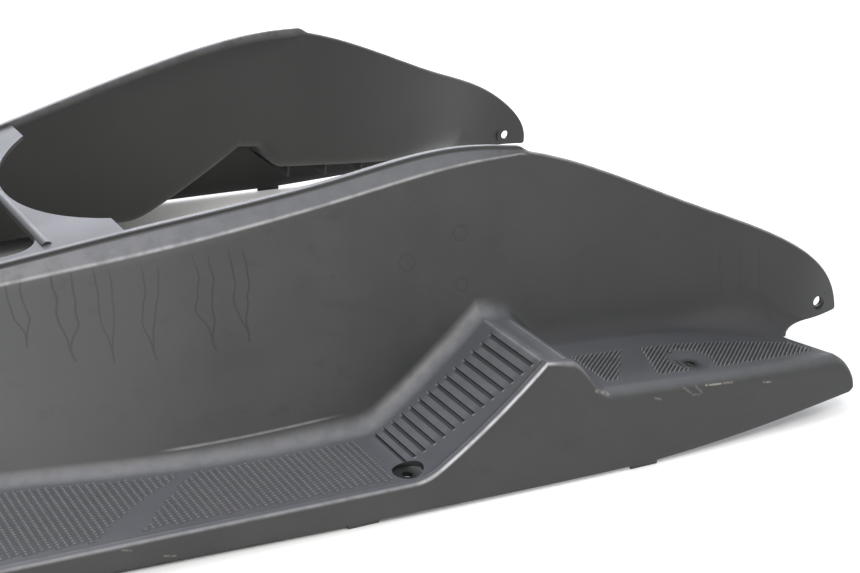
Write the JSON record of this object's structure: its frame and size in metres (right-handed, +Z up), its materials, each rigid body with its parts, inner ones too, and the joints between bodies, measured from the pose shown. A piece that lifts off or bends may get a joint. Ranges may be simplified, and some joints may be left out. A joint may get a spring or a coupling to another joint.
{
  "type": "scooter floorboard",
  "caption": "Moulded scooter floorboard: a thin shell with a central tunnel, foot floors, ribbed ramps, rear platforms and wings with screw ears.",
  "frame": {"origin": "middle of the length and width, on the surface that the tabs under the skirts rest on", "axes": "+X to the rear of the scooter, +Y to one side, +Z up"},
  "size_m": [0.87, 0.5564, 0.1754],
  "materials": {
    "moulded_plastic": "fine moulded grain, worn to a sheen on the edges"
  },
  "bodies": {
    "root": {"floorboard": "moulded_plastic"}
  },
  "joints": []
}
